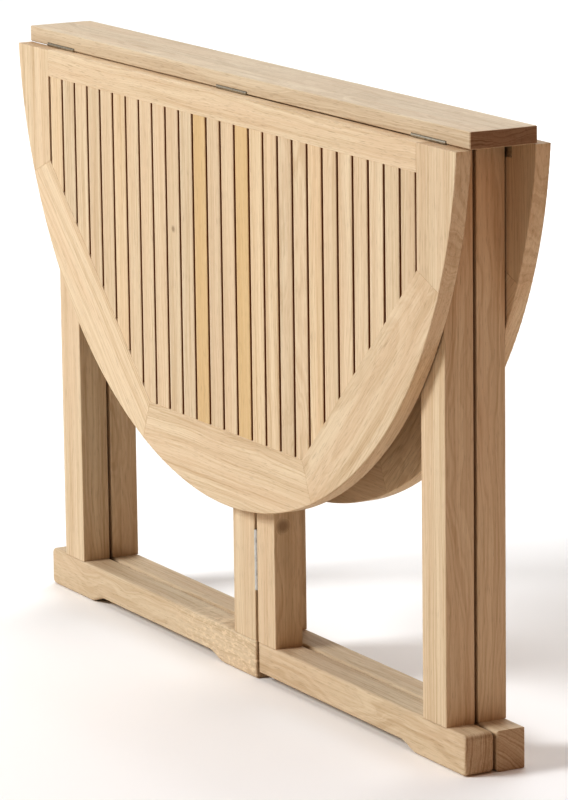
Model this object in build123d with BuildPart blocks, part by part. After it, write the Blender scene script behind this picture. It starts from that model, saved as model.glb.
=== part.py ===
from build123d import *
from math import cos, radians, sin
import os

os.makedirs("parts", exist_ok=True)

# Round gateleg table, folded: a narrow fixed board, two hanging leaves and two gates.
# Millimetres. +X runs along the board, -Y is the front, +Z is up, and the origin is on the
# floor under the middle. The back half is the front half turned half a turn about Z, so
# every sub-part is drawn for the front and placed with turn = 1 (front) or -1 (back).

# Driving dimensions
table_height = 740
top_diameter = 1100
top_thickness = 20
board_width = 87
stave_count = 3
arris = 1.5
board_side_bevel = 1

# Leaves
leaf_hinge_inset = 1        # hinge line inside the board's side, and above its underside
leaf_seam = 2               # hinge line to the leaf's hinged edge
slot_pitch = 35.4
slot_width = 4.6
slot_count = 27
slat_recess = 0.5
slat_bevel = 0.8
leaf_rail_height = 34
window_bottom = 307
window_corner = 194         # half width of the window's straight bottom edge
leaf_arris = 1.2
joint_bevel = 0.4
mitre = radians(22.5)
mitre_reach = 200

# Base
base_depth = 80
layer_gap = 4
foot_rail_height = 48
foot_rail_end = 527
foot_relief = 9
foot_end = 418
relief_end = 378
centre_foot_end = 50
centre_relief_end = 91
outer_post = (433, 486)
centre_post = (-20, 34.5)
gate_post = (40.5, 84.5)
top_rail_height = 48
gate_drop = 3               # gate top below the board's underside
rail_round = 7
rail_arris = 3.5
tenon_thickness = 12
tenon_depth = 24
tenon_shoulder = 9

# Butt hinges of the leaves: three on each side
leaf_hinge_length = 75
leaf_hinge_stations = (-460, 0, 460)
leaf_plate_reach = 24
leaf_plate_thickness = 2
leaf_screw_row = 15          # hinge line to the plate's row of screws
leaf_knuckle_radius = 2.4
leaf_knuckles = 5

# Butt hinges of the gates: two on each gate, in the seam beside the centre post
gate_hinge_length = 75
gate_hinge_heights = (150, 640)
gate_plate_reach = 28
gate_plate_thickness = 1.5
gate_screw_row = 17          # base's face to the plate's row of screws
gate_knuckle_radius = 2.8
gate_hinge_inset = 1.4      # hinge line inside the base's face
gate_knuckles = 6

knuckle_gap = 0.3
pin_radius = 1.2
pin_clearance = 0.05
pin_head = 0.6
pin_head_radius = 1.8
plate_clearance = 0.35
screw_radius = 1.6
screw_head_radius = 3.2
screw_length = 15
screw_slot = 0.7
frame_screw_radius = 2.5
frame_screw_head_radius = 5
frame_screw_head_height = 3
frame_screw_stations = (-330, -120)
frame_screw_grip = 16
frame_screw_bite = 13
spacer_width = 40
spacer_height = 60
spacer_levels = (110, 385, 660)
dowel_radius = 5
dowel_reach = 16

# Worked out from the driving dimensions
top_radius = top_diameter / 2
board_underside = table_height - top_thickness
stave_width = board_width / stave_count
hinge_y = leaf_hinge_inset - board_width / 2
hinge_z = board_underside + leaf_hinge_inset
leaf_inner_y = hinge_y + leaf_hinge_inset
leaf_top = hinge_z - leaf_seam
leaf_centre_z = hinge_z - hinge_y
window_top = leaf_top - leaf_rail_height
window_half = (slot_count // 2) * slot_pitch + slot_width / 2
window_side = window_bottom + window_half - window_corner
base_front = -base_depth / 2
base_back = -layer_gap / 2
layer_depth = base_back - base_front
layer_middle = (base_front + base_back) / 2
gate_top = board_underside - gate_drop
seam_u = (centre_post[1] + gate_post[0]) / 2
gate_hinge_y = base_front + gate_hinge_inset
tenon_y = (layer_middle - tenon_thickness / 2, layer_middle + tenon_thickness / 2)
foot_tenon_z = (foot_rail_height - tenon_depth, foot_rail_height)
sides = (("front", 1), ("back", -1))


def facing(turn, y):
    """Upright plane seen from outside: x along the table, y up, normal outwards."""
    return Plane(origin=(0, turn * y, 0), x_dir=(turn, 0, 0), z_dir=(0, -turn, 0))


def level(turn, z):
    """Level plane: x along the table, y towards the back, normal up."""
    return Plane(origin=(0, 0, z), x_dir=(turn, 0, 0), z_dir=(0, 0, 1))


def station(turn, x):
    """Plane across the table: x towards the back, y up, normal along the table."""
    return Plane(origin=(turn * x, 0, 0), x_dir=(0, turn, 0), z_dir=(turn, 0, 0))


def block(turn, x_span, y_span, z_span, mode=Mode.ADD):
    """A box between two stations, two depths and two heights."""
    with BuildSketch(level(turn, z_span[0])) as profile:
        with Locations(((x_span[0] + x_span[1]) / 2, (y_span[0] + y_span[1]) / 2)):
            Rectangle(x_span[1] - x_span[0], y_span[1] - y_span[0])
    extrude(profile.sketch, amount=z_span[1] - z_span[0], mode=mode)


def rod_along(plane, centre, radius, length, mode=Mode.ADD):
    """A round bar that starts on a plane and runs along its normal."""
    with BuildSketch(plane) as profile:
        with Locations(centre):
            Circle(radius)
    extrude(profile.sketch, amount=length, mode=mode)


def keep(builder, label):
    """Labels a finished sub-part and writes its STEP file."""
    builder.part.label = label
    export_step(builder.part, f"parts/{label}.step")


def knuckle_spans(length, count, first):
    """Every second knuckle of a hinge, as spans about the hinge's middle."""
    pitch = length / count
    starts = [-length / 2 + i * pitch for i in range(first, count, 2)]
    return [(s + knuckle_gap / 2, s + pitch - knuckle_gap / 2) for s in starts]


def screw_rows(middle, length):
    """Three screws along a hinge plate."""
    return (middle - length / 3, middle, middle + length / 3)


def board_screw_seats(turn):
    """Heads of the board plates' screws, facing down."""
    y = hinge_y + leaf_screw_row
    return [
        Plane(origin=(turn * x, turn * y, board_underside), x_dir=(1, 0, 0), z_dir=(0, 0, -1))
        for middle in leaf_hinge_stations
        for x in screw_rows(middle, leaf_hinge_length)
    ]


def leaf_screw_seats(turn):
    """Heads of the leaf plates' screws, facing into the table."""
    z = hinge_z - leaf_screw_row
    return [
        Plane(origin=(turn * x, turn * leaf_inner_y, z), x_dir=(1, 0, 0), z_dir=(0, turn, 0))
        for middle in leaf_hinge_stations
        for x in screw_rows(middle, leaf_hinge_length)
    ]


def gate_screw_seats(turn, x, outwards):
    """Heads of the screws in one seam plate of each gate hinge."""
    y = base_front + gate_screw_row
    return [
        Plane(origin=(turn * x, turn * y, z), x_dir=(0, 1, 0), z_dir=(turn * outwards, 0, 0))
        for middle in gate_hinge_heights
        for z in screw_rows(middle, gate_hinge_length)
    ]


def countersinks(seats, head_height):
    """Tapered screw seats through a plate."""
    with Locations(*seats):
        Cone(
            bottom_radius=screw_radius,
            top_radius=screw_head_radius,
            height=head_height,
            align=(Align.CENTER, Align.CENTER, Align.MAX),
            mode=Mode.SUBTRACT,
        )


def pilot_holes(seats):
    """Holes in the wood for the screws' shanks."""
    with Locations(*seats):
        Cylinder(
            screw_radius + pin_clearance,
            screw_length + pin_clearance,
            align=(Align.CENTER, Align.CENTER, Align.MAX),
            mode=Mode.SUBTRACT,
        )


def flat_screws(seats, head_height):
    """Slotted countersunk screws, driven flush."""
    with Locations(*seats):
        Cylinder(screw_radius, screw_length, align=(Align.CENTER, Align.CENTER, Align.MAX))
        Cone(
            bottom_radius=screw_radius,
            top_radius=screw_head_radius,
            height=head_height,
            align=(Align.CENTER, Align.CENTER, Align.MAX),
        )
        Box(
            2 * screw_head_radius,
            screw_slot,
            screw_slot,
            align=(Align.CENTER, Align.CENTER, Align.MAX),
            mode=Mode.SUBTRACT,
        )


def leaf_hinge_recess(turn, plate_y, plate_z):
    """Room in the wood for a leaf hinge: its plate and its barrel."""
    half = leaf_hinge_length / 2
    for middle in leaf_hinge_stations:
        block(turn, (middle - half, middle + half), plate_y, plate_z, Mode.SUBTRACT)
        start = station(turn, middle - half - pin_head - knuckle_gap)
        length = leaf_hinge_length + 2 * (pin_head + knuckle_gap)
        notch = leaf_knuckle_radius + plate_clearance
        rod_along(start, (hinge_y, hinge_z), notch, length, Mode.SUBTRACT)


# The middle board: staves glued edge to edge, cut to the round top's outline
for index in range(stave_count):
    stave_name = ("board_front_stave", "board_middle_stave", "board_back_stave")[index]
    stave_turn = (1, 1, -1)[index]
    near = (-board_width / 2, -stave_width / 2, -board_width / 2)[index]
    with BuildPart() as stave:
        with BuildSketch(level(stave_turn, board_underside)):
            Circle(top_radius)
            with Locations((0, near + stave_width / 2)):
                Rectangle(top_diameter, stave_width, mode=Mode.INTERSECT)
        extrude(amount=top_thickness)
        fillet(stave.edges().filter_by(GeomType.CIRCLE), arris)
        if stave_name != "board_middle_stave":
            long_sides = stave.edges().filter_by(Axis.X).sort_by(Axis.Y)
            outer = long_sides[:2] if stave_turn == 1 else long_sides[-2:]
            chamfer(outer.sort_by(Axis.Z)[-1], board_side_bevel)
            plate_depth = (hinge_y, hinge_y + leaf_plate_reach)
            plate_rise = (board_underside, board_underside + leaf_plate_thickness)
            leaf_hinge_recess(stave_turn, plate_depth, plate_rise)
            pilot_holes(board_screw_seats(stave_turn))
            for x in frame_screw_stations:
                rod_along(
                    level(stave_turn, board_underside),
                    (x, layer_middle),
                    frame_screw_radius + pin_clearance,
                    frame_screw_bite + pin_clearance,
                    Mode.SUBTRACT,
                )
    keep(stave, stave_name)


def leaf_outline(turn, corners):
    """One piece of a leaf: a polygon trimmed by the round top's outline."""
    with BuildSketch(facing(turn, leaf_inner_y)) as profile:
        with Locations((0, leaf_centre_z)):
            Circle(top_radius)
        with BuildLine():
            Polyline(*corners, close=True)
        make_face(mode=Mode.INTERSECT)
    extrude(profile.sketch, amount=top_thickness)


def bevel_joints(builder):
    """Bevels the straight edges of a leaf piece's broad faces, so that its joints show."""
    broad = builder.faces().filter_by(Axis.Y).group_by(Face.area)[-1]
    chamfer(broad.edges().filter_by(GeomType.LINE), joint_bevel)


def ease_leaf_piece(builder):
    """Bevels the joints of an outer piece, then rounds its curved edges."""
    bevel_joints(builder)
    fillet(builder.edges().filter_by(GeomType.CIRCLE), leaf_arris)


# Corners of the slatted window and the mitre lines that run out from them
low_corner = (window_corner, window_bottom)
side_corner = (window_half, window_side)
low_mitre = (low_corner[0] + mitre_reach * sin(mitre), low_corner[1] - mitre_reach * cos(mitre))
side_mitre = (side_corner[0] + mitre_reach * cos(mitre), side_corner[1] - mitre_reach * sin(mitre))

# Room for the leaf hinges' plates in the leaf
leaf_plate_depth = (hinge_y - leaf_plate_thickness / 2, leaf_inner_y)
leaf_plate_drop = (hinge_z - leaf_plate_reach, leaf_top)

for side, turn in sides:
    with BuildPart() as leaf_rail:
        top_left = (-window_half, leaf_top)
        top_right = (window_half, leaf_top)
        leaf_outline(turn, ((-window_half, window_top), (window_half, window_top), top_right, top_left))
        bevel_joints(leaf_rail)
        leaf_hinge_recess(turn, leaf_plate_depth, leaf_plate_drop)
        pilot_holes(leaf_screw_seats(turn))
    keep(leaf_rail, f"{side}_leaf_top_rail")

    for hand, sign in (("left", -1), ("right", 1)):
        with BuildPart() as stile:
            corners = (
                (sign * window_half, leaf_top),
                (sign * side_corner[0], side_corner[1]),
                (sign * side_mitre[0], side_mitre[1]),
                (sign * side_mitre[0], leaf_top),
            )
            leaf_outline(turn, corners)
            ease_leaf_piece(stile)
            leaf_hinge_recess(turn, leaf_plate_depth, leaf_plate_drop)
            pilot_holes(leaf_screw_seats(turn))
        keep(stile, f"{side}_leaf_{hand}_stile")

        with BuildPart() as diagonal:
            corners = (
                (sign * low_corner[0], low_corner[1]),
                (sign * side_corner[0], side_corner[1]),
                (sign * side_mitre[0], side_mitre[1]),
                (sign * low_mitre[0], low_mitre[1]),
            )
            leaf_outline(turn, corners)
            ease_leaf_piece(diagonal)
        keep(diagonal, f"{side}_leaf_{hand}_diagonal")

    with BuildPart() as leaf_bottom:
        corners = (
            (-low_corner[0], low_corner[1]),
            low_corner,
            low_mitre,
            (-low_mitre[0], low_mitre[1]),
        )
        leaf_outline(turn, corners)
        ease_leaf_piece(leaf_bottom)
    keep(leaf_bottom, f"{side}_leaf_bottom_piece")

    with BuildPart() as slats:
        with BuildSketch(facing(turn, leaf_inner_y - slat_recess)):
            with BuildLine():
                Polyline(
                    (-window_half, window_top),
                    (-side_corner[0], side_corner[1]),
                    (-low_corner[0], low_corner[1]),
                    low_corner,
                    side_corner,
                    (window_half, window_top),
                    close=True,
                )
            make_face()
            with Locations((0, (window_top + window_bottom) / 2)):
                with GridLocations(slot_pitch, 1, slot_count, 1):
                    Rectangle(slot_width, top_diameter, mode=Mode.SUBTRACT)
        extrude(amount=top_thickness - 2 * slat_recess)
        chamfer(slats.edges().filter_by(Axis.Z), slat_bevel)
    keep(slats, f"{side}_leaf_slats")


def leaf_barrel(turn, first):
    """Every second knuckle of the leaf hinges."""
    for middle in leaf_hinge_stations:
        for start, end in knuckle_spans(leaf_hinge_length, leaf_knuckles, first):
            rod_along(station(turn, middle + start), (hinge_y, hinge_z), leaf_knuckle_radius, end - start)


def leaf_bores(turn):
    """The pin's bore through the leaf hinges."""
    for middle in leaf_hinge_stations:
        start = station(turn, middle - leaf_hinge_length / 2)
        rod_along(
            start, (hinge_y, hinge_z), pin_radius + pin_clearance, leaf_hinge_length, Mode.SUBTRACT
        )


half_plate = leaf_plate_thickness / 2
plate_start = leaf_knuckle_radius + plate_clearance
half_length = leaf_hinge_length / 2 - knuckle_gap / 2

for side, turn in sides:
    with BuildPart() as board_plates:
        rise = (hinge_z - half_plate, hinge_z + half_plate)
        for middle in leaf_hinge_stations:
            wide = (middle - half_length, middle + half_length)
            block(turn, wide, (hinge_y + plate_start, hinge_y + leaf_plate_reach), rise)
            for start, end in knuckle_spans(leaf_hinge_length, leaf_knuckles, 0):
                block(turn, (middle + start, middle + end), (hinge_y, hinge_y + plate_start), rise)
        leaf_barrel(turn, 0)
        leaf_bores(turn)
        countersinks(board_screw_seats(turn), leaf_plate_thickness)
    keep(board_plates, f"{side}_hinge_board_plates")

    with BuildPart() as leaf_plates:
        depth = (hinge_y - half_plate, hinge_y + half_plate)
        for middle in leaf_hinge_stations:
            wide = (middle - half_length, middle + half_length)
            block(turn, wide, depth, (hinge_z - leaf_plate_reach, hinge_z - plate_start))
            for start, end in knuckle_spans(leaf_hinge_length, leaf_knuckles, 1):
                block(turn, (middle + start, middle + end), depth, (hinge_z - plate_start, hinge_z))
        leaf_barrel(turn, 1)
        leaf_bores(turn)
        countersinks(leaf_screw_seats(turn), leaf_plate_thickness)
    keep(leaf_plates, f"{side}_hinge_leaf_plates")

    with BuildPart() as leaf_pins:
        for middle in leaf_hinge_stations:
            start = middle - half_length - pin_head
            length = 2 * (half_length + pin_head)
            rod_along(station(turn, start), (hinge_y, hinge_z), pin_radius, length)
            rod_along(station(turn, start), (hinge_y, hinge_z), pin_head_radius, pin_head)
            rod_along(station(turn, middle + half_length), (hinge_y, hinge_z), pin_head_radius, pin_head)
    keep(leaf_pins, f"{side}_hinge_pins")

    with BuildPart() as board_screws:
        flat_screws(board_screw_seats(turn), leaf_plate_thickness)
    keep(board_screws, f"{side}_hinge_board_screws")

    with BuildPart() as leaf_screws:
        flat_screws(leaf_screw_seats(turn), leaf_plate_thickness)
    keep(leaf_screws, f"{side}_hinge_leaf_screws")


def tenon_rise(top):
    """Height range of a top rail's tenons."""
    return (top - top_rail_height + tenon_shoulder, top - tenon_shoulder)


def foot_tenon_x(x_span):
    """Width range of the tenon below a post."""
    return (x_span[0] + tenon_shoulder, x_span[1] - tenon_shoulder)


def post(turn, x_span, top, mortise_side):
    """An upright on its rail: tenon below, mortise for the top rail on one side."""
    block(turn, x_span, (base_front, base_back), (foot_rail_height, top))
    block(turn, foot_tenon_x(x_span), tenon_y, foot_tenon_z)
    face_x = x_span[1] if mortise_side > 0 else x_span[0]
    mortise_x = sorted((face_x, face_x - mortise_side * tenon_depth))
    block(turn, mortise_x, tenon_y, tenon_rise(top), Mode.SUBTRACT)


def ease_uprights(builder):
    """Rounds the long arrises of a post."""
    long_edges = builder.edges().filter_by(Axis.Z).group_by(Edge.length)[-1]
    fillet(long_edges, arris)


def top_rail(turn, x_span, top):
    """A rail between two posts, tenoned into both."""
    block(turn, x_span, (base_front, base_back), (top - top_rail_height, top))
    tenon_x = (x_span[0] - tenon_depth, x_span[1] + tenon_depth)
    block(turn, tenon_x, tenon_y, tenon_rise(top))


def foot_mortise(turn, x_span):
    """Mortise in a foot rail for a post's tenon."""
    block(turn, foot_tenon_x(x_span), tenon_y, foot_tenon_z, Mode.SUBTRACT)


def ease_foot_rail(builder):
    """Rounds the outline of a foot rail's two broad faces."""
    broad = builder.faces().filter_by(Axis.Y).group_by(Face.area)[-1]
    fillet(broad.edges(), rail_arris)


fixed_outer = (-outer_post[1], -outer_post[0])

for side, turn in sides:
    with BuildPart() as foot_rail:
        with BuildSketch(facing(turn, base_back)) as outline:
            with BuildLine():
                Line((-foot_rail_end, 0), (-foot_end, 0))
                Spline((-foot_end, 0), (-relief_end, foot_relief), tangents=((1, 0), (1, 0)))
                Line((-relief_end, foot_relief), (-centre_relief_end, foot_relief))
                Spline(
                    (-centre_relief_end, foot_relief),
                    (-centre_foot_end, 0),
                    tangents=((1, 0), (1, 0)),
                )
                Polyline(
                    (-centre_foot_end, 0),
                    (centre_post[1], 0),
                    (centre_post[1], foot_rail_height),
                    (-foot_rail_end, foot_rail_height),
                    (-foot_rail_end, 0),
                )
            make_face()
            fillet(outline.vertices().group_by(Axis.X)[0 if turn == 1 else -1], rail_round)
        extrude(amount=layer_depth)
        ease_foot_rail(foot_rail)
        foot_mortise(turn, fixed_outer)
        foot_mortise(turn, centre_post)
    keep(foot_rail, f"{side}_fixed_foot_rail")

    with BuildPart() as outer_upright:
        post(turn, fixed_outer, board_underside, 1)
        ease_uprights(outer_upright)
    keep(outer_upright, f"{side}_fixed_outer_post")

    with BuildPart() as centre_upright:
        post(turn, centre_post, board_underside, -1)
        ease_uprights(centre_upright)
        pilot_holes(gate_screw_seats(turn, centre_post[1] + gate_plate_thickness, 1))
        for z in spacer_levels:
            rod_along(
                facing(turn, base_back),
                (0, z),
                dowel_radius + pin_clearance,
                dowel_reach + pin_clearance,
                Mode.SUBTRACT,
            )
    keep(centre_upright, f"{side}_fixed_centre_post")

    with BuildPart() as fixed_top_rail:
        top_rail(turn, (fixed_outer[1], centre_post[0]), board_underside)
        for x in frame_screw_stations:
            rod_along(
                level(turn, board_underside),
                (x, layer_middle),
                frame_screw_radius + pin_clearance,
                -top_rail_height,
                Mode.SUBTRACT,
            )
            rod_along(
                level(turn, board_underside - frame_screw_grip),
                (x, layer_middle),
                frame_screw_head_radius + pin_clearance,
                -(top_rail_height - frame_screw_grip),
                Mode.SUBTRACT,
            )
    keep(fixed_top_rail, f"{side}_fixed_top_rail")

    with BuildPart() as gate_foot_rail:
        with BuildSketch(facing(turn, base_back)) as outline:
            with BuildLine():
                Line((gate_post[0], foot_relief), (relief_end, foot_relief))
                Spline((relief_end, foot_relief), (foot_end, 0), tangents=((1, 0), (1, 0)))
                Polyline(
                    (foot_end, 0),
                    (foot_rail_end, 0),
                    (foot_rail_end, foot_rail_height),
                    (gate_post[0], foot_rail_height),
                    (gate_post[0], foot_relief),
                )
            make_face()
            fillet(outline.vertices().group_by(Axis.X)[-1 if turn == 1 else 0], rail_round)
        extrude(amount=layer_depth)
        ease_foot_rail(gate_foot_rail)
        foot_mortise(turn, gate_post)
        foot_mortise(turn, outer_post)
    keep(gate_foot_rail, f"{side}_gate_foot_rail")

    with BuildPart() as gate_inner_upright:
        post(turn, gate_post, gate_top, 1)
        ease_uprights(gate_inner_upright)
        pilot_holes(gate_screw_seats(turn, gate_post[0] - gate_plate_thickness, -1))
    keep(gate_inner_upright, f"{side}_gate_inner_post")

    with BuildPart() as gate_outer_upright:
        post(turn, outer_post, gate_top, -1)
        ease_uprights(gate_outer_upright)
    keep(gate_outer_upright, f"{side}_gate_outer_post")

    with BuildPart() as gate_top_rail:
        top_rail(turn, (gate_post[1], outer_post[0]), gate_top)
    keep(gate_top_rail, f"{side}_gate_top_rail")


gate_half = gate_hinge_length / 2 - knuckle_gap / 2


def gate_barrel(turn, first):
    """Every second knuckle of the gate hinges."""
    for middle in gate_hinge_heights:
        for start, end in knuckle_spans(gate_hinge_length, gate_knuckles, first):
            rod_along(level(turn, middle + start), (seam_u, gate_hinge_y), gate_knuckle_radius, end - start)


def gate_bores(turn):
    """The pin's bore through the gate hinges."""
    for middle in gate_hinge_heights:
        bottom = level(turn, middle - gate_hinge_length / 2)
        rod_along(
            bottom, (seam_u, gate_hinge_y), pin_radius + pin_clearance, gate_hinge_length, Mode.SUBTRACT
        )


def gate_plate(turn, x_span, first):
    """One plate of each gate hinge, flat on the side of its post."""
    start_y = gate_hinge_y + gate_knuckle_radius + plate_clearance
    for middle in gate_hinge_heights:
        tall = (middle - gate_half, middle + gate_half)
        block(turn, x_span, (start_y, base_front + gate_plate_reach), tall)
        for start, end in knuckle_spans(gate_hinge_length, gate_knuckles, first):
            block(turn, x_span, (gate_hinge_y, start_y), (middle + start, middle + end))
    gate_barrel(turn, first)
    gate_bores(turn)


for side, turn in sides:
    with BuildPart() as fixed_plates:
        gate_plate(turn, (centre_post[1], centre_post[1] + gate_plate_thickness), 0)
        countersinks(
            gate_screw_seats(turn, centre_post[1] + gate_plate_thickness, 1), gate_plate_thickness
        )
    keep(fixed_plates, f"{side}_gate_hinge_fixed_plates")

    with BuildPart() as moving_plates:
        gate_plate(turn, (gate_post[0] - gate_plate_thickness, gate_post[0]), 1)
        countersinks(
            gate_screw_seats(turn, gate_post[0] - gate_plate_thickness, -1), gate_plate_thickness
        )
    keep(moving_plates, f"{side}_gate_hinge_moving_plates")

    with BuildPart() as gate_pins:
        for middle in gate_hinge_heights:
            bottom = middle - gate_half - pin_head
            length = 2 * (gate_half + pin_head)
            rod_along(level(turn, bottom), (seam_u, gate_hinge_y), pin_radius, length)
            rod_along(level(turn, bottom), (seam_u, gate_hinge_y), pin_head_radius, pin_head)
            rod_along(level(turn, middle + gate_half), (seam_u, gate_hinge_y), pin_head_radius, pin_head)
    keep(gate_pins, f"{side}_gate_hinge_pins")

    with BuildPart() as fixed_screws:
        flat_screws(
            gate_screw_seats(turn, centre_post[1] + gate_plate_thickness, 1), gate_plate_thickness
        )
    keep(fixed_screws, f"{side}_gate_hinge_fixed_screws")

    with BuildPart() as moving_screws:
        flat_screws(
            gate_screw_seats(turn, gate_post[0] - gate_plate_thickness, -1), gate_plate_thickness
        )
    keep(moving_screws, f"{side}_gate_hinge_moving_screws")

# What joins the two fixed half frames to each other and to the board
with BuildPart() as spacers:
    for z in spacer_levels:
        spacer_z = (z - spacer_height / 2, z + spacer_height / 2)
        block(1, (-spacer_width / 2, spacer_width / 2), (base_back, -base_back), spacer_z)
        rod_along(facing(1, -base_back), (0, z), dowel_radius + pin_clearance, layer_gap, Mode.SUBTRACT)
keep(spacers, "centre_spacers")

with BuildPart() as dowels:
    for z in spacer_levels:
        rod_along(
            facing(1, -base_back + dowel_reach), (0, z), dowel_radius, layer_gap + 2 * dowel_reach
        )
keep(dowels, "centre_dowels")

with BuildPart() as frame_screws:
    for side, turn in sides:
        for x in frame_screw_stations:
            head = board_underside - frame_screw_grip
            rod_along(
                level(turn, head),
                (x, layer_middle),
                frame_screw_head_radius,
                -frame_screw_head_height,
            )
            rod_along(
                level(turn, head),
                (x, layer_middle),
                frame_screw_radius,
                frame_screw_grip + frame_screw_bite,
            )
keep(frame_screws, "board_fixing_screws")
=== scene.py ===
"""The looks of a folded teak gateleg table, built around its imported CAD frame."""

import math

import bpy
from mathutils import Matrix, Vector


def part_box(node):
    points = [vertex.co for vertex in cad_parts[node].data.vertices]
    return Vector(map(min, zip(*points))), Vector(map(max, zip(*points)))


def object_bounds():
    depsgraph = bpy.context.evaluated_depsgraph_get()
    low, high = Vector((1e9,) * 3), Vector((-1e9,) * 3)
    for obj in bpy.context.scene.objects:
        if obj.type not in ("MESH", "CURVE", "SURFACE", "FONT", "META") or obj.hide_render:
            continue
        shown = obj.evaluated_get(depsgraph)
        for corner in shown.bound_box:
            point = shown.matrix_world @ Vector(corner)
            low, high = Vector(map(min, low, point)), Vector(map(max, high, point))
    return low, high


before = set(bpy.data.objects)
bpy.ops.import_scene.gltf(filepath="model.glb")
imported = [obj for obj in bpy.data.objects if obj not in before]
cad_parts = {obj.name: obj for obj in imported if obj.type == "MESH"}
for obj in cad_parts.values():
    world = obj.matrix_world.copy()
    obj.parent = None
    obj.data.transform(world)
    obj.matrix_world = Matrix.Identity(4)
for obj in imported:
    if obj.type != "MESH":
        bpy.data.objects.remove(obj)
cad_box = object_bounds()

# Places read from the frame, in metres
low, high = (Vector(corner) for corner in cad_box)
SLAT_LOW, SLAT_HIGH = (Vector(corner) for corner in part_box("front_leaf_slats"))
SLOT_WIDTH = 0.0046
SLAT_COUNT = 26
SLAT_PITCH = (SLAT_HIGH.x - SLAT_LOW.x + SLOT_WIDTH) / SLAT_COUNT

ALONG_X = Vector((1, 0, 0))
ALONG_Z = Vector((0, 0, 1))
RISING = Vector((1, 0, 1)).normalized()
FALLING = Vector((1, 0, -1)).normalized()

# Two knots: one on a front slat, one on the side of the front gate's inner post
SLAT_KNOT = ((-0.124, SLAT_LOW.y, 0.536), 0.0028)
POST_KNOT_Y, POST_KNOT_Z, POST_KNOT_RADIUS = -0.0276, 0.200, 0.0055

# Flecked figure at the middle end of the front foot rail: its centre and its reach
RAIL_FLECKS = ((-0.03, -0.04, 0.03), 0.20)

# Linear colours of planed teak
EARLY_WOOD = (0.72, 0.565, 0.385)
LATE_WOOD = (0.47, 0.305, 0.165)
GOLDEN_WOOD = (0.63, 0.415, 0.190)
PINK_WOOD = (0.66, 0.465, 0.300)
PORE = (0.21, 0.115, 0.055)
WEATHERED = (0.58, 0.475, 0.36)
END_STAIN = (0.40, 0.27, 0.19, 1.0)
# Painted shade for the walls of the narrow slots between slats
SLOT_WALL_SHADE = (0.46, 0.26, 0.15, 1.0)


def tone(colour, factor):
    """A colour made lighter or darker, with full alpha."""
    return tuple(min(1.0, channel * factor) for channel in colour) + (1.0,)


class Tree:
    """Builds one material's nodes, from the inputs back to the shader."""

    def __init__(self, name):
        self.material = bpy.data.materials.new(name)
        self.material.use_nodes = True
        self.nodes = self.material.node_tree.nodes
        self.links = self.material.node_tree.links
        self.nodes.clear()
        self.output = self.add("ShaderNodeOutputMaterial")
        self.shader = self.add("ShaderNodeBsdfPrincipled")
        self.links.new(self.shader.outputs["BSDF"], self.output.inputs["Surface"])
        self.place = self.add("ShaderNodeTexCoord")

    def add(self, kind, **settings):
        node = self.nodes.new(kind)
        for key, value in settings.items():
            setattr(node, key, value)
        return node

    def feed(self, socket, value):
        """Links an output to a socket, or writes a plain value on it."""
        if isinstance(value, bpy.types.NodeSocket):
            self.links.new(value, socket)
        else:
            socket.default_value = value

    def math(self, operation, a, b=0.0, c=0.0):
        node = self.add("ShaderNodeMath", operation=operation)
        for socket, value in zip(node.inputs, (a, b, c)):
            self.feed(socket, value)
        return node.outputs[0]

    def vector(self, operation, a, b=(0, 0, 0), c=(0, 0, 0), scale=1.0):
        node = self.add("ShaderNodeVectorMath", operation=operation)
        self.feed(node.inputs[0], a)
        if operation == "SCALE":
            self.feed(node.inputs["Scale"], scale)
            return node.outputs["Vector"]
        if operation != "LENGTH":
            self.feed(node.inputs[1], b)
        if operation == "MULTIPLY_ADD":
            self.feed(node.inputs[2], c)
        is_number = operation in ("LENGTH", "DOT_PRODUCT", "DISTANCE")
        return node.outputs["Value" if is_number else "Vector"]

    def noise(self, where, scale, detail=2.0, roughness=0.5, line=None):
        """Fractal noise in space, or along one number when line is given."""
        node = self.add("ShaderNodeTexNoise", noise_dimensions="3D" if line is None else "1D")
        if line is None:
            self.feed(node.inputs["Vector"], where)
        else:
            self.feed(node.inputs["W"], line)
        self.feed(node.inputs["Scale"], scale)
        self.feed(node.inputs["Detail"], detail)
        self.feed(node.inputs["Roughness"], roughness)
        return node.outputs["Fac"]

    def between(self, value, start, end, to_start=0.0, to_end=1.0, smooth=True):
        """Maps a range of values onto another, held at both ends."""
        kind = "SMOOTHSTEP" if smooth else "LINEAR"
        node = self.add("ShaderNodeMapRange", interpolation_type=kind)
        for socket, number in zip(node.inputs, (value, start, end, to_start, to_end)):
            self.feed(socket, number)
        return node.outputs["Result"]

    def mix(self, factor, a, b, blend="MIX"):
        node = self.add("ShaderNodeMix", data_type="RGBA", blend_type=blend)
        self.feed(node.inputs["Factor"], factor)
        self.feed(node.inputs[6], a)
        self.feed(node.inputs[7], b)
        return node.outputs[2]


def grain_space(tree, grain, seed):
    """Object space turned so that the grain runs along X, moved by a seed to fresh wood."""
    turn = grain.rotation_difference(ALONG_X).to_euler()
    mapping = tree.add("ShaderNodeMapping", vector_type="POINT")
    tree.feed(mapping.inputs["Vector"], tree.place.outputs["Object"])
    tree.feed(mapping.inputs["Rotation"], turn)
    shift = (1.7 * seed, 0.11 * math.sin(5.1 * seed), 0.13 * math.cos(3.3 * seed))
    tree.feed(mapping.inputs["Location"], shift)
    return mapping.outputs["Vector"]


def slat_number(tree):
    """A whole number for each slat, counted along the leaf."""
    parts = tree.add("ShaderNodeSeparateXYZ")
    tree.feed(parts.inputs[0], tree.place.outputs["Object"])
    return tree.math("FLOOR", tree.math("DIVIDE", parts.outputs["X"], SLAT_PITCH)), parts.outputs["X"]


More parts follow.
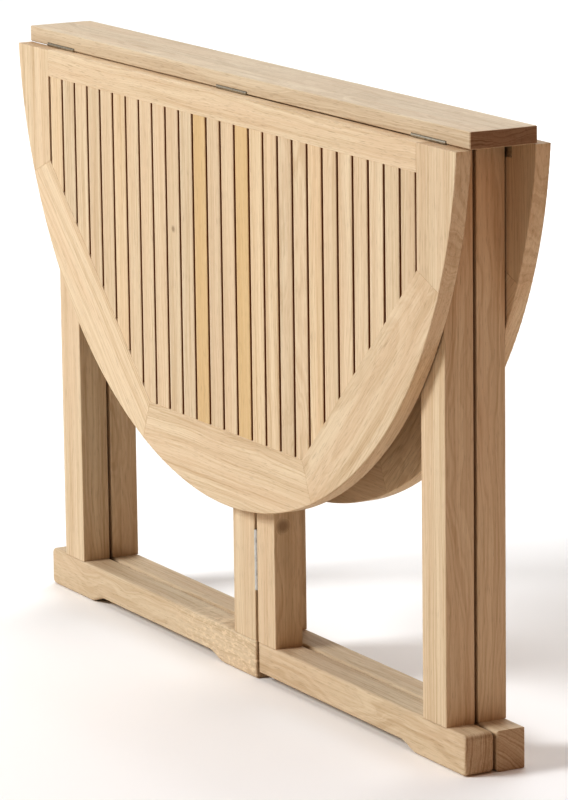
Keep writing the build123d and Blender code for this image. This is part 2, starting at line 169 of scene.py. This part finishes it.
def knot_mask(tree, knots):
    """Fades from 1 to 0 round a few points of the object, where knots sit."""
    mask = None
    for point, radius in knots:
        apart = tree.vector("DISTANCE", tree.place.outputs["Object"], point)
        spot = tree.between(apart, radius * 0.5, radius * 2.2, 1.0, 0.0)
        mask = spot if mask is None else tree.math("MAXIMUM", mask, spot)
    return mask


def teak(
    name,
    grain,
    seed,
    brightness=1.0,
    pith=0.075,
    slats=None,
    knots=(),
    grey=0.0,
    end_dark=0.25,
    flecks=None,
):
    """Planed teak as solid wood: rings about a pith beside the piece, fibres, pores and end grain."""
    tree = Tree(name)
    place = grain_space(tree, grain, seed)
    if slats is not None:
        number, across = slat_number(tree)
        white = tree.add("ShaderNodeTexWhiteNoise", noise_dimensions="1D")
        tree.feed(white.inputs["W"], tree.math("ADD", number, slats))
        place = tree.vector("MULTIPLY_ADD", white.outputs["Color"], (3.0, 0.10, 0.09), place)
    knots_here = knot_mask(tree, knots) if knots else None

    # Slow wander of the grain, then the distance from the pith
    wander = tree.add("ShaderNodeTexNoise")
    tree.feed(wander.inputs["Vector"], tree.vector("MULTIPLY", place, (3.4, 14.0, 14.0)))
    tree.feed(wander.inputs["Scale"], 1.0)
    tree.feed(wander.inputs["Detail"], 3.0)
    swing = tree.vector("MULTIPLY_ADD", wander.outputs["Color"], (0.0, 0.034, 0.034), place)
    if knots_here is not None:
        push = tree.vector("SCALE", (0.0, 0.012, 0.012), scale=knots_here)
        swing = tree.vector("ADD", swing, push)
    radial = tree.vector("MULTIPLY_ADD", swing, (0.0, 1.0, 1.0), (0.0, pith, pith * 0.4 - 0.015))
    radius = tree.vector("LENGTH", radial)

    bands = tree.noise(None, 70.0, 3.0, 0.6, line=radius)
    rings = tree.noise(None, 420.0, 2.0, 0.7, line=radius)
    fibres = tree.noise(tree.vector("MULTIPLY", place, (7.0, 380.0, 380.0)), 1.0, 4.0, 0.65)
    pores = tree.noise(tree.vector("MULTIPLY", place, (55.0, 1100.0, 1100.0)), 1.0, 1.0, 0.5)
    clouds = tree.noise(tree.vector("MULTIPLY", place, (3.0, 22.0, 22.0)), 1.0, 4.0, 0.6)
    streaks = tree.noise(tree.vector("MULTIPLY", place, (1.6, 75.0, 75.0)), 1.0, 3.0, 0.6)

    band_dark = tree.between(bands, 0.40, 0.66)
    ring_dark = tree.between(rings, 0.40, 0.66)
    fibre_dark = tree.between(fibres, 0.38, 0.70)
    pore_dark = tree.between(pores, 0.60, 0.72)
    cloud_dark = tree.between(clouds, 0.38, 0.66)
    streak_dark = tree.between(streaks, 0.50, 0.70)

    # End grain drinks more oil and dirt, so it is darker and its rings stand out
    facing = tree.vector("DOT_PRODUCT", tree.place.outputs["Normal"], tuple(grain))
    end_grain = tree.between(tree.math("ABSOLUTE", facing), 0.55, 0.92)

    early = tone(EARLY_WOOD, brightness)
    late = tone(LATE_WOOD, brightness)
    if grey:
        early = tuple(a + (b - a) * grey for a, b in zip(early, tone(WEATHERED, 1.12)))
        late = tuple(a + (b - a) * grey for a, b in zip(late, tone(WEATHERED, 0.80)))
    amount = tree.math("MULTIPLY_ADD", band_dark, 0.20, tree.math("MULTIPLY", ring_dark, 0.27))
    amount = tree.math("MULTIPLY_ADD", fibre_dark, 0.26, amount)
    amount = tree.math("MULTIPLY_ADD", streak_dark, 0.24, amount)
    amount = tree.math("MULTIPLY_ADD", end_grain, tree.math("MULTIPLY", ring_dark, 0.45), amount)
    colour = tree.mix(amount, early, late)
    colour = tree.mix(tree.math("MULTIPLY", cloud_dark, 0.40), colour, tone(PINK_WOOD, brightness))
    if slats is not None:
        golden = tree.between(white.outputs["Value"], 0.70, 1.0, 0.0, 0.45, smooth=False)
        if slats == 0:
            offset = tree.math("SUBTRACT", tree.math("ABSOLUTE", across), 1.5 * SLAT_PITCH)
            chosen = tree.math("LESS_THAN", tree.math("ABSOLUTE", offset), 0.5 * SLAT_PITCH)
            faint = tree.math("MULTIPLY", golden, 0.35)
            golden = tree.math("MAXIMUM", faint, tree.math("MULTIPLY", chosen, 0.66))
        colour = tree.mix(golden, colour, tone(GOLDEN_WOOD, 1.04))
        shade = tree.between(white.outputs["Value"], 0.0, 1.0, 0.95, 1.05, smooth=False)
        colour = tree.vector("SCALE", colour, scale=shade)
        # Slat faces along X are the walls of the narrow slots: painted shade darkens them, standing in
        # for the shade inside the slots
        sideways = tree.vector("DOT_PRODUCT", tree.place.outputs["Normal"], (1.0, 0.0, 0.0))
        slot_wall_shade = tree.between(tree.math("ABSOLUTE", sideways), 0.80, 0.98)
        colour = tree.mix(slot_wall_shade, colour, SLOT_WALL_SHADE, "MULTIPLY")
    colour = tree.mix(tree.math("MULTIPLY", end_grain, end_dark), colour, END_STAIN, "MULTIPLY")
    colour = tree.mix(tree.math("MULTIPLY", pore_dark, 0.26), colour, PORE + (1.0,))
    if flecks is not None:
        centre, reach = flecks
        apart = tree.vector("DISTANCE", tree.place.outputs["Object"], centre)
        near = tree.between(apart, 0.25 * reach, reach, 1.0, 0.0)
        curl = tree.vector("MULTIPLY", tree.place.outputs["Object"], (120.0, 60.0, 260.0))
        figure = tree.between(tree.noise(curl, 1.0, 4.0, 0.65), 0.46, 0.66)
        share = tree.math("MULTIPLY", figure, tree.math("MULTIPLY", near, 0.62))
        colour = tree.mix(share, colour, tone(EARLY_WOOD, 1.14))
    if knots_here is not None:
        colour = tree.mix(tree.math("MULTIPLY", knots_here, 0.62), colour, PORE + (1.0,))
    tree.feed(tree.shader.inputs["Base Color"], colour)

    gloss = tree.between(fibres, 0.3, 0.8, 0.52, 0.70, smooth=False)
    tree.feed(tree.shader.inputs["Roughness"], gloss)
    tree.feed(tree.shader.inputs["Specular IOR Level"], 0.28)
    relief = tree.math("MULTIPLY_ADD", pore_dark, -0.8, tree.math("MULTIPLY", fibre_dark, -0.5))
    relief = tree.math("MULTIPLY_ADD", ring_dark, -0.3, relief)
    bump = tree.add("ShaderNodeBump")
    tree.feed(bump.inputs["Strength"], 0.45)
    tree.feed(bump.inputs["Distance"], 0.0003)
    tree.feed(bump.inputs["Height"], relief)
    tree.feed(tree.shader.inputs["Normal"], bump.outputs["Normal"])
    return tree.material


def metal(name, colour, stain, roughness, stain_share):
    """Plated or patinated metal with brushed streaks and stains."""
    tree = Tree(name)
    place = tree.place.outputs["Object"]
    streaks = tree.noise(tree.vector("MULTIPLY", place, (300.0, 2200.0, 300.0)), 1.0, 2.0)
    blotches = tree.noise(place, 160.0, 4.0, 0.6)
    spots = tree.noise(place, 900.0, 2.0, 0.6)
    dirty = tree.between(blotches, 0.45, 0.70, 0.0, stain_share)
    dirty = tree.math("MULTIPLY_ADD", tree.between(spots, 0.58, 0.72), 0.25 * stain_share, dirty)
    surface = tree.mix(dirty, colour + (1.0,), stain + (1.0,))
    surface = tree.mix(tree.between(streaks, 0.35, 0.7, 0.0, 0.25), surface, tone(colour, 0.7))
    tree.feed(tree.shader.inputs["Base Color"], surface)
    tree.feed(tree.shader.inputs["Metallic"], 1.0)
    brushed = tree.between(streaks, 0.3, 0.8, roughness, roughness + 0.12)
    dull = tree.math("MULTIPLY_ADD", dirty, 0.30, brushed)
    tree.feed(tree.shader.inputs["Roughness"], dull)
    bump = tree.add("ShaderNodeBump")
    tree.feed(bump.inputs["Strength"], 0.25)
    tree.feed(bump.inputs["Distance"], 0.00008)
    tree.feed(bump.inputs["Height"], tree.math("ADD", streaks, spots))
    tree.feed(tree.shader.inputs["Normal"], bump.outputs["Normal"])
    return tree.material


def dress(node, material):
    """Gives a CAD node its material."""
    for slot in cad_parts[node].material_slots:
        slot.material = material


# The board: three staves, each cut from its own plank
for index, node in enumerate(("board_front_stave", "board_middle_stave", "board_back_stave")):
    brightness = (0.93, 0.90, 0.91)[index]
    pith = 0.028 + 0.01 * index
    seed = 2.3 + 1.9 * index
    dress(node, teak(node, ALONG_X, seed, brightness, pith=pith, grey=0.20, end_dark=0.75))

# The leaves: grain runs along each piece of the frame, and upright in stiles and slats
for side_index, side in enumerate(("front", "back")):
    mirrored = side == "back"
    diagonal_grain = {"left": RISING if mirrored else FALLING, "right": FALLING if mirrored else RISING}
    seed = 10.0 * (side_index + 1)
    dress(f"{side}_leaf_top_rail", teak(f"{side}_leaf_top_rail", ALONG_X, seed + 0.7, 1.0))
    dress(f"{side}_leaf_bottom_piece", teak(f"{side}_leaf_bottom_piece", ALONG_X, seed + 2.2, 1.0))
    for hand_index, hand in enumerate(("left", "right")):
        node = f"{side}_leaf_{hand}_stile"
        dress(node, teak(node, ALONG_Z, seed + 3.1 + hand_index, (1.02, 0.98)[hand_index]))
        node = f"{side}_leaf_{hand}_diagonal"
        brightness = (1.05, 0.98)[hand_index]
        dress(node, teak(node, diagonal_grain[hand], seed + 5.4 + hand_index, brightness))
    knots = (SLAT_KNOT,) if side == "front" else ()
    slats = 0 if side == "front" else 57
    node = f"{side}_leaf_slats"
    dress(node, teak(node, ALONG_Z, seed + 7.3, 1.0, slats=slats, knots=knots))

# The base: rails run along the table, posts stand upright
for side_index, side in enumerate(("front", "back")):
    seed = 31.0 + 9.0 * side_index
    rails = ("fixed_foot_rail", "fixed_top_rail", "gate_foot_rail", "gate_top_rail")
    for rail_index, rail in enumerate(rails):
        node = f"{side}_{rail}"
        flecks = RAIL_FLECKS if node == "front_fixed_foot_rail" else None
        brightness = (0.93, 1.0, 0.95, 1.0)[rail_index]
        dress(node, teak(node, ALONG_X, seed + 1.3 * rail_index, brightness, flecks=flecks))
    posts = ("fixed_outer_post", "fixed_centre_post", "gate_inner_post", "gate_outer_post")
    for post_index, post in enumerate(posts):
        node = f"{side}_{post}"
        post_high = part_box(node)[1]
        knots = ()
        if node == "front_gate_inner_post":
            knots = (((post_high[0], POST_KNOT_Y, POST_KNOT_Z), POST_KNOT_RADIUS),)
        dress(node, teak(node, ALONG_Z, seed + 6.1 + 1.7 * post_index, 1.0, knots=knots))

dress("centre_spacers", teak("centre_spacers", ALONG_Z, 4.4, 0.95))
dress("centre_dowels", teak("centre_dowels", Vector((0, 1, 0)), 5.9, 1.05))

bronze = metal("patinated_bronze", (0.58, 0.52, 0.42), (0.20, 0.16, 0.12), 0.40, 0.6)
zinc = metal("zinc_plate", (0.66, 0.64, 0.60), (0.36, 0.33, 0.29), 0.34, 0.5)
for side in ("front", "back"):
    for piece in ("board_plates", "leaf_plates", "pins", "board_screws", "leaf_screws"):
        dress(f"{side}_hinge_{piece}", bronze)
    for piece in ("fixed_plates", "moving_plates", "pins", "fixed_screws", "moving_screws"):
        dress(f"{side}_gate_hinge_{piece}", zinc)
dress("board_fixing_screws", zinc)


def plain_floor():
    """A wide pale floor at the feet."""
    bpy.ops.mesh.primitive_plane_add(size=60.0, location=(0.0, 0.0, low.z - 0.0005))
    floor = bpy.context.object
    floor.name = "floor"
    tree = Tree("pale_floor")
    speckle = tree.noise(tree.place.outputs["Object"], 3.0, 2.0)
    colour = tree.mix(speckle, (0.94, 0.885, 0.825, 1.0), (0.955, 0.90, 0.84, 1.0))
    tree.feed(tree.shader.inputs["Base Color"], colour)
    tree.feed(tree.shader.inputs["Roughness"], 0.9)
    tree.feed(tree.shader.inputs["Specular IOR Level"], 0.1)
    floor.data.materials.append(tree.material)


def soft_light(name, place, target, size, power, colour):
    """A large square area light that looks at a point."""
    data = bpy.data.lights.new(name, "AREA")
    data.shape = "SQUARE"
    data.size = size
    data.energy = power
    data.color = colour
    lamp = bpy.data.objects.new(name, data)
    bpy.context.collection.objects.link(lamp)
    lamp.location = place
    lamp.visible_camera = False
    lamp.rotation_euler = (Vector(target) - Vector(place)).to_track_quat("-Z", "Y").to_euler()


def studio():
    """Soft key from the front left, cool light from above, a weak warm fill from the right."""
    middle = (low + high) / 2
    soft_light("key", (-2.2, -6.4, 4.4), middle, 2.6, 560.0, (0.83, 0.91, 1.0))
    soft_light("top", (0.0, 0.0, 4.5), middle, 3.0, 78.0, (0.80, 0.89, 1.0))
    soft_light("warm_fill", (3.4, 0.2, 1.9), middle, 2.4, 13.0, (1.0, 0.40, 0.14))
    soft_light("backdrop_light", (-4.2, 3.6, 4.4), (-4.2, 3.6, 0.0), 5.0, 300.0, (0.82, 0.91, 1.0))
    world = bpy.data.worlds.new("pale_room")
    world.use_nodes = True
    sky = world.node_tree.nodes["Background"]
    sky.inputs["Color"].default_value = (1.0, 0.88, 0.77, 1.0)
    sky.inputs["Strength"].default_value = 0.18
    bpy.context.scene.world = world


def camera():
    """A long lens at the front right, a little above the board."""
    azimuth, elevation, roll = math.radians(61.137), math.radians(11.99), math.radians(-0.73)
    distance = 5.616
    target = Vector((0.0095, 0.0173, 0.3369))
    outward = Vector(
        (
            math.sin(azimuth) * math.cos(elevation),
            -math.cos(azimuth) * math.cos(elevation),
            math.sin(elevation),
        )
    )
    data = bpy.data.cameras.new("camera")
    data.lens = 207.66
    data.sensor_width = 36.0
    data.clip_end = 100.0
    view = bpy.data.objects.new("camera", data)
    bpy.context.collection.objects.link(view)
    view.location = target + outward * distance
    looking = (-outward).to_track_quat("-Z", "Y").to_matrix().to_4x4()
    view.matrix_world = Matrix.Translation(view.location) @ looking @ Matrix.Rotation(roll, 4, "Z")
    bpy.context.scene.camera = view


plain_floor()
studio()
camera()
bpy.context.scene.view_settings.view_transform = "Standard"
bpy.context.scene.view_settings.look = "High Contrast"
bpy.context.scene.view_settings.exposure = -0.43
